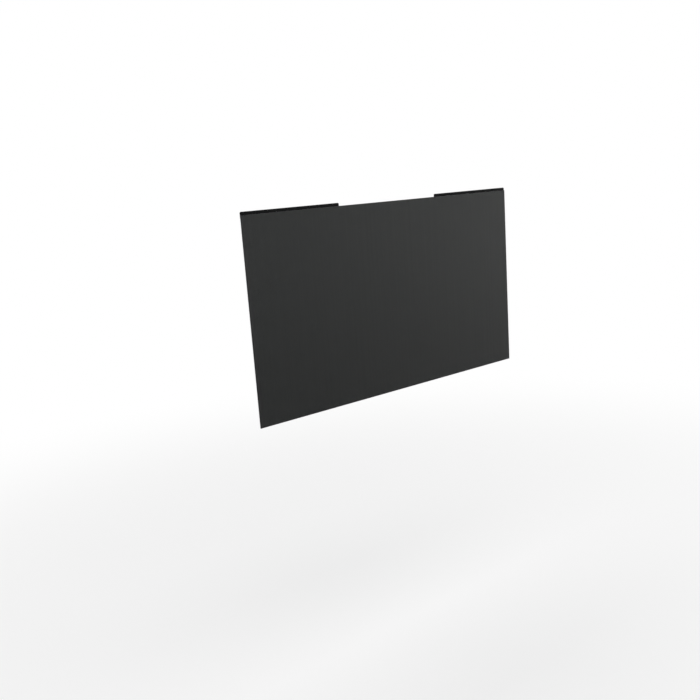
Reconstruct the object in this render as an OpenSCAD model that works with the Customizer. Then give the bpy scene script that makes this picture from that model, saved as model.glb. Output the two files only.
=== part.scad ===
// Privacy filter: a wide louvre-film sheet that hangs from two magnetic strips behind its top edge.
// +X runs along the width, +Y points away from the viewer and +Z is up.
// The origin is the centre of the whole filter.

/* [Sheet] */
// Width of the sheet, cut to the 24 inch size in 16:9
sheet_w = 531; // [450:1:700]
// Height of the sheet
sheet_h = 299; // [200:1:420]
// Thickness of the whole laminate
sheet_t = 0.6; // [0.4:0.1:1.2]
// Radius of the cut corners
sheet_corner_r = 1; // [0.5:0.5:5]

/* [Magnetic strips] */
// Length of each strip
strip_l = 168; // [80:1:220]
// Height of each strip
strip_h = 10; // [8:0.5:14]
// Thickness of each strip
strip_t = 1; // [0.6:0.1:2]
// Radius of the strip's corners
strip_corner_r = 2; // [0.5:0.5:3]
// How far a strip stands above the top edge of the sheet
strip_rise = 4.5; // [2:0.5:5]
// Gap between a strip's outer end and the side edge of the sheet
strip_inset = 0.5; // [0:0.5:5]

/* [Bonding tape] */
// Thickness of the double-sided tape
tape_t = 0.2; // [0.1:0.05:0.5]
// Bare border round the tape, inside the area where strip and sheet overlap
tape_margin = 0.5; // [0.2:0.1:0.8]

/* [Hidden] */
$fn = 64;

// Outer size of the whole filter, and the planes that follow from it
total_h = sheet_h + strip_rise;
total_t = sheet_t + tape_t + strip_t;
sheet_bottom_z = -total_h / 2;
sheet_top_z = sheet_bottom_z + sheet_h;
sheet_front_y = -total_t / 2;
tape_front_y = sheet_front_y + sheet_t;
strip_front_y = tape_front_y + tape_t;

// A strip's place, as seen on the left side
strip_bottom_z = sheet_top_z + strip_rise - strip_h;
strip_outer_x = sheet_w / 2 - strip_inset;

// The tape fills the overlap of strip and sheet, less a border
tape_l = strip_l - 2 * tape_margin;
tape_h = sheet_top_z - strip_bottom_z - 2 * tape_margin;

// Rectangle with true round corners, its lower left corner at the origin
module rounded_outline(w, h, r) {
    translate([r, 0]) square([w - 2 * r, h]);
    translate([0, r]) square([w, h - 2 * r]);
    for (x = [r, w - r], y = [r, h - r])
        translate([x, y]) circle(r = r);
}

// Upright plate that faces the viewer, its lower left front corner at the origin
module upright_plate(w, h, t, r) {
    translate([0, t, 0])
        rotate([90, 0, 0])
            linear_extrude(height = t)
                rounded_outline(w, h, r);
}

// The laminated louvre film, one bonded sheet
module filter_sheet() {
    color([0.22, 0.22, 0.23])
        translate([-sheet_w / 2, sheet_front_y, sheet_bottom_z])
            upright_plate(sheet_w, sheet_h, sheet_t, sheet_corner_r);
}

// Flexible magnet behind the top edge, at the left end of the sheet
module magnetic_strip_left() {
    color([0.08, 0.08, 0.09])
        translate([-strip_outer_x, strip_front_y, strip_bottom_z])
            upright_plate(strip_l, strip_h, strip_t, strip_corner_r);
}

// The same strip at the right end
module magnetic_strip_right() {
    mirror([1, 0, 0]) magnetic_strip_left();
}

// Double-sided tape between the left strip and the back of the sheet
module bonding_tape_left() {
    color([0.32, 0.32, 0.34])
        translate([-strip_outer_x + tape_margin, tape_front_y, strip_bottom_z + tape_margin])
            cube([tape_l, tape_t, tape_h]);
}

// The same tape at the right end
module bonding_tape_right() {
    mirror([1, 0, 0]) bonding_tape_left();
}

filter_sheet();
magnetic_strip_left();
magnetic_strip_right();
bonding_tape_left();
bonding_tape_right();
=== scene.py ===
"""Looks of a privacy filter: a louvre-film sheet that hangs from two magnetic strips.

The sheet is a clear laminate with black louvres standing inside it, modelled one by one at their true pitch.
Seen square on, light passes between them and the sheet is smoky. From the side, they close it to charcoal.
"""

import math

import bmesh
import bpy
from mathutils import Euler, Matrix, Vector


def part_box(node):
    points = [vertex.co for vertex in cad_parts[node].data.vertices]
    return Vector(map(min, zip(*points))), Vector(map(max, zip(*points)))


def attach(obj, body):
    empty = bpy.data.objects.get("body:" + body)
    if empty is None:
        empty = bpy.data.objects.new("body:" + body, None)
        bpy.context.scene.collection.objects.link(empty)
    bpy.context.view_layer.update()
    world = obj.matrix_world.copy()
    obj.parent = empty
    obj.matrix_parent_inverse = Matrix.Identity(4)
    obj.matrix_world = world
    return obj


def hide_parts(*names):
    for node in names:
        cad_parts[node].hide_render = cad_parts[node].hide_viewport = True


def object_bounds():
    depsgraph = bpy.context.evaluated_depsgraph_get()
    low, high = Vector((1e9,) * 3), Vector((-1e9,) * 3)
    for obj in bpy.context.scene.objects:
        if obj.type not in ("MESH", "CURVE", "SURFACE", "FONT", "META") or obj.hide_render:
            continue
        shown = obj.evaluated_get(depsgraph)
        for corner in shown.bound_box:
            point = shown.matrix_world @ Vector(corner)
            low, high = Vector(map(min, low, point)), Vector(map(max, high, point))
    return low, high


MM = 0.001

# Louvres inside the sheet: thin upright ribs, one beside the other
LOUVRE_PITCH = 0.1 * MM
LOUVRE_THICKNESS = 0.012 * MM
LOUVRE_DEPTH = 0.3 * MM
LOUVRE_JITTER = 0.004 * MM
LOUVRE_SEED = 7
LOUVRES_LEFT_OUT_AT_ENDS = 3
FILM_EDGE_COVER = 0.05 * MM
SHEET_CORNER_RADIUS = 1.0 * MM

# Outline and edges of the magnetic strips
STRIP_CORNER_RADIUS = 2.0 * MM
STRIP_CORNER_STEPS = 12
STRIP_EDGE_ROUNDING = 0.15 * MM
STRIP_EDGE_STEPS = 3

# Every scale of a pattern is in features per metre, and noise lies mostly between these two values
NOISE_LOW = 0.3
NOISE_HIGH = 0.7

# Finish of the laminate
FILM_IOR = 1.34
FILM_GLOSS_TINT = (0.95, 0.985, 0.975, 1)
FILM_DARK = (0.41, 0.42, 0.43, 1)
FILM_LIGHT = (0.46, 0.47, 0.48, 1)
FILM_STREAK_SCALE = (260, 0, 1.5)
FRONT_ROUGHNESS = 0.36
CUT_EDGE_ROUGHNESS = 0.5
BACK_ROUGHNESS = 0.3
FILM_GRAIN_SCALE = 1500
FILM_GRAIN_SWING = 0.04
WAVE_SCALE = 7
WAVE_SOFTNESS = 0.3
WAVE_HEIGHT = 1.2 * MM
WAVE_STRENGTH = 0.5

# Finish of the louvres
LOUVRE_DARK = (0.010, 0.011, 0.012, 1)
LOUVRE_LIGHT = (0.015, 0.016, 0.017, 1)
LOUVRE_ROUGHNESS = 0.6
LOUVRE_SHADE_SCALE = 9

# Finish of the magnetic strips
MAGNET_DARK = (0.002, 0.002, 0.0022, 1)
MAGNET_LIGHT = (0.005, 0.005, 0.0054, 1)
MAGNET_LIGHT_AT = 0.75
MAGNET_GLOSS = 0.08
MAGNET_LEAST_ROUGHNESS = 0.5
MAGNET_MOST_ROUGHNESS = 0.75
MAGNET_GRAIN_SCALE = 3500
MAGNET_LINE_SCALE = (40, 2500, 2500)
MAGNET_LINE_HEIGHT = 0.03 * MM
MAGNET_LINE_STRENGTH = 0.8

# Finish of the bonding tape
TAPE_DARK = (0.05, 0.05, 0.053, 1)
TAPE_LIGHT = (0.11, 0.11, 0.115, 1)
TAPE_ROUGHNESS = 0.75
TAPE_CELL_SCALE = 9000
TAPE_CELL_HEIGHT = 0.02 * MM
TAPE_CELL_STRENGTH = 0.4

# Camera, at the photograph's viewpoint
CAMERA_PLACE = (-0.8320, -0.9533, 0.1836)
CAMERA_TURN_DEG = (78.12, 4.01, -38.53)
CAMERA_LENS_MM = 41.65
CAMERA_SENSOR_MM = 36.0

# Floor, pale below the object and plain white past the fade, in metres
FLOOR_DROP = 0.4
FLOOR_SIZE = 40.0
FLOOR_COLOUR = (0.95, 0.95, 0.95, 1)
FLOOR_ROUGHNESS = 0.9
FLOOR_FADE_START = 0.6
FLOOR_FADE_END = 1.9

# Light: the white that is seen all round, the softer fill that lights, and the lamps
WHITE = (1, 1, 1, 1)
BACKGROUND_STRENGTH = 1.0
AMBIENT_STRENGTH = 0.7

# Soft boxes, each as name, place, width, height and watts
SOFTBOXES = (
    ("top_light", (0, 0, 2.4), 3.0, 3.0, 27),
    ("right_light", (2.2, -2.6, 0.25), 3.4, 2.2, 22),
)

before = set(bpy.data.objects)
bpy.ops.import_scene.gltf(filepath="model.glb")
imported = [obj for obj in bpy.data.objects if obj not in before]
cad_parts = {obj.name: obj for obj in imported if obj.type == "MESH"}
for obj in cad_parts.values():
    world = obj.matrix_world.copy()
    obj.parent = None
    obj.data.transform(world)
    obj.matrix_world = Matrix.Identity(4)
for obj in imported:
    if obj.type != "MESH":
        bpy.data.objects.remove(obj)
cad_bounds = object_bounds()


def add_object(name, data):
    """Links a new object with this mesh, lamp or camera, at the origin."""
    made = bpy.data.objects.new(name, data)
    bpy.context.scene.collection.objects.link(made)
    return made


def new_material(name):
    """A node material, with its tree and its Principled shader."""
    material = bpy.data.materials.new(name)
    material.use_nodes = True
    return material, material.node_tree, material.node_tree.nodes["Principled BSDF"]


def add_node(tree, kind, inputs=None, **settings):
    """Adds a node, sets its properties, and fills its inputs with values or links."""
    made = tree.nodes.new(kind)
    for key, value in settings.items():
        setattr(made, key, value)
    for key, value in (inputs or {}).items():
        if isinstance(value, bpy.types.NodeSocket):
            tree.links.new(value, made.inputs[key])
        else:
            made.inputs[key].default_value = value
    return made


def add_maths(tree, operation, a, b=0.0):
    """One step of arithmetic, on one value or two."""
    return add_node(tree, "ShaderNodeMath", {0: a, 1: b}, operation=operation).outputs[0]


def object_place(tree):
    """The point on the object, in its own coordinates."""
    return add_node(tree, "ShaderNodeTexCoord").outputs["Object"]


def add_noise(tree, place, scale, detail=3.0):
    """Soft noise."""
    given = {"Vector": place, "Scale": scale, "Detail": detail}
    return add_node(tree, "ShaderNodeTexNoise", given).outputs["Fac"]


def drawn_noise(tree, place, scale):
    """Noise that is drawn out along the axes with the smaller scales."""
    drawn = add_node(tree, "ShaderNodeMapping", {"Vector": place, "Scale": scale})
    return add_noise(tree, drawn.outputs[0], 1.0)


def remap(tree, value, low, high, new_low, new_high):
    """Takes a value from one range to another."""
    ranges = {"From Min": low, "From Max": high, "To Min": new_low, "To Max": new_high}
    return add_node(tree, "ShaderNodeMapRange", {"Value": value, **ranges}).outputs["Result"]


def two_tone(tree, factor, dark, light, low=NOISE_LOW, high=NOISE_HIGH):
    """A colour that goes from dark to light as the factor goes from low to high."""
    ramp = add_node(tree, "ShaderNodeValToRGB", {"Fac": factor})
    for stop, position, colour in zip(ramp.color_ramp.elements, (low, high), (dark, light)):
        stop.position = position
        stop.color = colour
    return ramp.outputs["Color"]


def add_bump(tree, shader, height, strength, distance):
    """Relief on the surface."""
    given = {"Height": height, "Strength": strength, "Distance": distance}
    bump = add_node(tree, "ShaderNodeBump", given)
    tree.links.new(bump.outputs["Normal"], shader.inputs["Normal"])


def roughness_by_side(tree):
    """Roughness of the front, the cut edges or the back, told apart by the object's own normal."""
    normal = add_node(tree, "ShaderNodeTexCoord").outputs["Normal"]
    facing = add_node(tree, "ShaderNodeSeparateXYZ", {"Vector": normal}).outputs["Y"]
    sides = add_node(tree, "ShaderNodeValToRGB", {"Fac": remap(tree, facing, -1.0, 1.0, 0.0, 1.0)})
    sides.color_ramp.interpolation = "CONSTANT"
    sides.color_ramp.elements.new(0.5)
    steps = ((0.0, FRONT_ROUGHNESS), (0.25, CUT_EDGE_ROUGHNESS), (0.75, BACK_ROUGHNESS))
    for stop, (position, roughness) in zip(sides.color_ramp.elements, steps):
        stop.position = position
        stop.color = (roughness, roughness, roughness, 1)
    return sides.outputs["Color"]


def laminate_material():
    """Clear film that carries the louvres: anti-glare front, satin back, raw cut edges."""
    material, tree, shader = new_material("film_laminate")
    shader.inputs["Transmission Weight"].default_value = 1.0
    shader.inputs["IOR"].default_value = FILM_IOR
    shader.inputs["Specular Tint"].default_value = FILM_GLOSS_TINT
    place = object_place(tree)

    # Faint upright streaks, from the way the film is drawn
    streaks = drawn_noise(tree, place, FILM_STREAK_SCALE)
    tree.links.new(two_tone(tree, streaks, FILM_DARK, FILM_LIGHT), shader.inputs["Base Color"])

    # The fine grain of each side
    grain = add_noise(tree, place, FILM_GRAIN_SCALE, detail=2.0)
    swing = remap(tree, grain, NOISE_LOW, NOISE_HIGH, 1.0 - FILM_GRAIN_SWING, 1.0 + FILM_GRAIN_SWING)
    roughness = add_maths(tree, "MULTIPLY", roughness_by_side(tree), swing)
    tree.links.new(roughness, shader.inputs["Roughness"])

    # The slight waviness of a thin sheet that hangs free
    given = {"Vector": place, "Scale": WAVE_SCALE, "Detail": 1.0, "Roughness": WAVE_SOFTNESS}
    wave = add_node(tree, "ShaderNodeTexNoise", given).outputs["Fac"]
    add_bump(tree, shader, wave, WAVE_STRENGTH, WAVE_HEIGHT)
    return material


def louvre_material():
    """Black louvres, very slightly uneven from place to place, without gloss where they meet the film."""
    material, tree, shader = new_material("louvre_black")
    shade = add_noise(tree, object_place(tree), LOUVRE_SHADE_SCALE)
    tree.links.new(two_tone(tree, shade, LOUVRE_DARK, LOUVRE_LIGHT), shader.inputs["Base Color"])
    shader.inputs["Roughness"].default_value = LOUVRE_ROUGHNESS
    shader.inputs["Specular IOR Level"].default_value = 0.0
    return material


def magnet_material():
    """Matt black flexible magnet, with fine lines along its length."""
    material, tree, shader = new_material("magnet_black")
    place = object_place(tree)
    grain = add_noise(tree, place, MAGNET_GRAIN_SCALE, detail=2.0)
    shade = two_tone(tree, grain, MAGNET_DARK, MAGNET_LIGHT, high=MAGNET_LIGHT_AT)
    tree.links.new(shade, shader.inputs["Base Color"])
    shader.inputs["Specular IOR Level"].default_value = MAGNET_GLOSS
    lines = drawn_noise(tree, place, MAGNET_LINE_SCALE)
    roughness = remap(tree, lines, NOISE_LOW, NOISE_HIGH, MAGNET_LEAST_ROUGHNESS, MAGNET_MOST_ROUGHNESS)
    tree.links.new(roughness, shader.inputs["Roughness"])
    add_bump(tree, shader, lines, MAGNET_LINE_STRENGTH, MAGNET_LINE_HEIGHT)
    return material


def tape_material():
    """Dark grey acrylic foam, finely celled at its cut edges."""
    material, tree, shader = new_material("bonding_tape")
    given = {"Vector": object_place(tree), "Scale": TAPE_CELL_SCALE}
    cells = add_node(tree, "ShaderNodeTexVoronoi", given).outputs["Distance"]
    shade = two_tone(tree, cells, TAPE_DARK, TAPE_LIGHT, low=0.0, high=1.0)
    tree.links.new(shade, shader.inputs["Base Color"])
    shader.inputs["Roughness"].default_value = TAPE_ROUGHNESS
    add_bump(tree, shader, cells, TAPE_CELL_STRENGTH, TAPE_CELL_HEIGHT)
    return material


def louvre_height_left(tree, half_width, corner_radius, rib_size):
    """The share of a rib's height that is left where the sheet's round corners cut in."""
    position = add_node(tree, "GeometryNodeInputPosition").outputs[0]
    x = add_node(tree, "ShaderNodeSeparateXYZ", {"Vector": position}).outputs["X"]
    to_edge = add_maths(tree, "SUBTRACT", half_width, add_maths(tree, "ABSOLUTE", x))
    inward = add_maths(tree, "MAXIMUM", add_maths(tree, "SUBTRACT", corner_radius, to_edge), 0.0)
    radius_squared = add_maths(tree, "POWER", corner_radius, 2.0)
    inward_squared = add_maths(tree, "POWER", inward, 2.0)
    reach = add_maths(tree, "SQRT", add_maths(tree, "SUBTRACT", radius_squared, inward_squared))
    cut_in = add_maths(tree, "SUBTRACT", corner_radius, reach)
    height = add_node(tree, "ShaderNodeSeparateXYZ", {"Vector": rib_size}).outputs["Z"]
    lost = add_maths(tree, "DIVIDE", add_maths(tree, "MULTIPLY", cut_in, 2.0), height)
    return add_maths(tree, "SUBTRACT", 1.0, lost)


def louvre_tree(material):
    """Geometry nodes that stand a row of ribs along X, each a little out of its even place."""
    tree = bpy.data.node_groups.new("louvre_row", "GeometryNodeTree")
    for name, kind in (
        ("Count", "NodeSocketInt"),
        ("Start", "NodeSocketVector"),
        ("Pitch", "NodeSocketFloat"),
        ("Rib Size", "NodeSocketVector"),
        ("Jitter", "NodeSocketFloat"),
        ("Half Width", "NodeSocketFloat"),
        ("Corner Radius", "NodeSocketFloat"),
        ("Seed", "NodeSocketInt"),
    ):
        tree.interface.new_socket(name, in_out="INPUT", socket_type=kind)
    tree.interface.new_socket("Ribs", in_out="OUTPUT", socket_type="NodeSocketGeometry")
    given = tree.nodes.new("NodeGroupInput").outputs

    # The even row of places
    step = add_node(tree, "ShaderNodeCombineXYZ", {"X": given["Pitch"]}).outputs[0]
    even = {"Count": given["Count"], "Start Location": given["Start"], "Offset": step}
    row = add_node(tree, "GeometryNodeMeshLine", even, mode="OFFSET").outputs["Mesh"]

    # Each place shifted a little to one side
    least = add_maths(tree, "MULTIPLY", given["Jitter"], -1.0)
    spread = {"Min": least, "Max": given["Jitter"], "Seed": given["Seed"]}
    sway = add_node(tree, "FunctionNodeRandomValue", spread, data_type="FLOAT").outputs["Value"]
    shift = add_node(tree, "ShaderNodeCombineXYZ", {"X": sway}).outputs[0]
    moved = add_node(tree, "GeometryNodeSetPosition", {"Geometry": row, "Offset": shift}).outputs[0]

    # A rib on each place
    left = louvre_height_left(tree, given["Half Width"], given["Corner Radius"], given["Rib Size"])
    scale = add_node(tree, "ShaderNodeCombineXYZ", {"X": 1.0, "Y": 1.0, "Z": left}).outputs[0]
    rib = add_node(tree, "GeometryNodeMeshCube", {"Size": given["Rib Size"]}).outputs["Mesh"]
    placed = {"Points": moved, "Instance": rib, "Scale": scale}
    stood = add_node(tree, "GeometryNodeInstanceOnPoints", placed).outputs[0]
    solid = add_node(tree, "GeometryNodeRealizeInstances", {0: stood}).outputs[0]
    finish = {"Geometry": solid, "Material": material}
    painted = add_node(tree, "GeometryNodeSetMaterial", finish).outputs[0]
    add_node(tree, "NodeGroupOutput", {0: painted})
    return tree


def louvre_ribs():
    """The louvres, one rib each, as a plain mesh inside the sheet."""
    low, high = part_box("filter_sheet")
    middle = (low + high) / 2
    count = int((high.x - low.x) / LOUVRE_PITCH) - LOUVRES_LEFT_OUT_AT_ENDS
    tree = louvre_tree(louvre_material())
    made = add_object("louvre_ribs", bpy.data.meshes.new("louvre_ribs"))
    modifier = made.modifiers.new("louvre_row", "NODES")
    modifier.node_group = tree
    names = {item.name: item.identifier for item in tree.interface.items_tree if item.in_out == "INPUT"}
    for name, value in (
        ("Count", count),
        ("Start", (middle.x - (count - 1) * LOUVRE_PITCH / 2, middle.y, middle.z)),
        ("Pitch", LOUVRE_PITCH),
        ("Rib Size", (LOUVRE_THICKNESS, LOUVRE_DEPTH, high.z - low.z - 2 * FILM_EDGE_COVER)),
        ("Jitter", LOUVRE_JITTER),
        ("Half Width", (high.x - low.x) / 2),
        ("Corner Radius", SHEET_CORNER_RADIUS),
        ("Seed", LOUVRE_SEED),
    ):
        modifier[names[name]] = value
    solved = made.evaluated_get(bpy.context.evaluated_depsgraph_get())
    made.data = bpy.data.meshes.new_from_object(solved)
    made.modifiers.clear()
    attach(made, "root")


def rounded_outline(low, high, radius, steps):
    """Points round an upright rectangle with round corners, as (x, z)."""
    points = []
    for x, z, start in (
        (high.x - radius, high.z - radius, 0),
        (low.x + radius, high.z - radius, 90),
        (low.x + radius, low.z + radius, 180),
        (high.x - radius, low.z + radius, 270),
    ):
        for i in range(steps + 1):
            angle = math.radians(start + 90 * i / steps)
            points.append((x + radius * math.cos(angle), z + radius * math.sin(angle)))
    return points


def magnetic_strip(node, material):
    """A strip with the CAD node's outline, and its die-cut edges very slightly rounded."""
    low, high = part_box(node)
    build = bmesh.new()
    outline = rounded_outline(low, high, STRIP_CORNER_RADIUS, STRIP_CORNER_STEPS)
    front = build.faces.new([build.verts.new((x, low.y, z)) for x, z in outline])
    grown = bmesh.ops.extrude_face_region(build, geom=[front])
    back = [part for part in grown["geom"] if isinstance(part, bmesh.types.BMVert)]
    bmesh.ops.translate(build, verts=back, vec=(0, high.y - low.y, 0))
    bmesh.ops.recalc_face_normals(build, faces=build.faces)
    rims = [
        edge for edge in build.edges
        if math.isclose(edge.verts[0].co.y, edge.verts[1].co.y, abs_tol=MM / 1000)
    ]
    bmesh.ops.bevel(
        build,
        geom=rims,
        offset=STRIP_EDGE_ROUNDING,
        offset_type="OFFSET",
        segments=STRIP_EDGE_STEPS,
        profile=0.5,
        affect="EDGES",
    )
    mesh = bpy.data.meshes.new(node + "_dressed")
    build.to_mesh(mesh)
    build.free()
    mesh.shade_smooth()
    mesh.materials.append(material)
    made = add_object(node + "_dressed", mesh)
    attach(made, "root")
    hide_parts(node)


def dress(node, material):
    """Gives a CAD node its finish."""
    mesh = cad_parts[node].data
    mesh.materials.clear()
    mesh.materials.append(material)


def add_camera():
    """The photograph's viewpoint."""
    camera = bpy.data.cameras.new("camera")
    camera.lens = CAMERA_LENS_MM
    camera.sensor_width = CAMERA_SENSOR_MM
    holder = add_object("camera", camera)
    holder.location = CAMERA_PLACE
    holder.rotation_euler = Euler([math.radians(angle) for angle in CAMERA_TURN_DEG])
    bpy.context.scene.camera = holder


def seen_rays(tree):
    """1 for a ray from the camera, or one that a gloss or a clear surface passes on, and 0 for the rest."""
    path = add_node(tree, "ShaderNodeLightPath").outputs
    looked = add_maths(tree, "MAXIMUM", path["Is Camera Ray"], path["Is Glossy Ray"])
    return add_maths(tree, "MAXIMUM", looked, path["Is Transmission Ray"])


def floor_material():
    """Pale matt floor that keeps the shadow, and fades to plain white far off."""
    material, tree, shader = new_material("pale_floor")
    shader.inputs["Base Color"].default_value = FLOOR_COLOUR
    shader.inputs["Roughness"].default_value = FLOOR_ROUGHNESS
    shader.inputs["Specular IOR Level"].default_value = 0.0
    away = add_node(tree, "ShaderNodeVectorMath", {0: object_place(tree)}, operation="LENGTH")
    far = {"Value": away.outputs["Value"], "From Min": FLOOR_FADE_START, "From Max": FLOOR_FADE_END}
    fade = add_node(tree, "ShaderNodeMapRange", far, interpolation_type="SMOOTHERSTEP")
    share = add_maths(tree, "MULTIPLY", fade.outputs["Result"], seen_rays(tree))
    white = add_node(tree, "ShaderNodeEmission", {"Color": WHITE, "Strength": BACKGROUND_STRENGTH})
    mix = add_node(tree, "ShaderNodeMixShader", {0: share, 1: shader.outputs[0], 2: white.outputs[0]})
    tree.links.new(mix.outputs[0], tree.nodes["Material Output"].inputs["Surface"])
    material.cycles.emission_sampling = "NONE"
    return material


def add_floor():
    """A wide floor below the object, which hangs."""
    level = cad_bounds[0].z - FLOOR_DROP
    half = FLOOR_SIZE / 2
    corners = [(-half, -half, level), (half, -half, level), (half, half, level), (-half, half, level)]
    mesh = bpy.data.meshes.new("floor")
    mesh.from_pydata(corners, [], [(0, 1, 2, 3)])
    mesh.materials.append(floor_material())
    add_object("floor", mesh)


def add_world():
    """White all round to look at, and a softer fill to light the object."""
    world = bpy.data.worlds.new("white_room")
    world.use_nodes = True
    bpy.context.scene.world = world
    tree = world.node_tree
    sky = tree.nodes["Background"]
    sky.inputs["Color"].default_value = WHITE
    strength = remap(tree, seen_rays(tree), 0.0, 1.0, AMBIENT_STRENGTH, BACKGROUND_STRENGTH)
    tree.links.new(strength, sky.inputs["Strength"])
    world.cycles.sampling_method = "NONE"


def add_softbox(name, place, width, height, watts):
    """A rectangular soft light that faces the object, and shows in its gloss but not through it."""
    light = bpy.data.lights.new(name, "AREA")
    light.shape = "RECTANGLE"
    light.size = width
    light.size_y = height
    light.energy = watts
    holder = add_object(name, light)
    holder.location = place
    holder.rotation_mode = "QUATERNION"
    holder.rotation_quaternion = (-Vector(place)).to_track_quat("-Z", "Y")
    holder.visible_camera = False
    holder.visible_transmission = False


add_camera()
add_floor()
add_world()
for softbox in SOFTBOXES:
    add_softbox(*softbox)
magnet = magnet_material()
tape = tape_material()
dress("filter_sheet", laminate_material())
louvre_ribs()
for side in ("left", "right"):
    magnetic_strip("magnetic_strip_" + side, magnet)
    dress("bonding_tape_" + side, tape)
bpy.context.scene.view_settings.view_transform = "Standard"
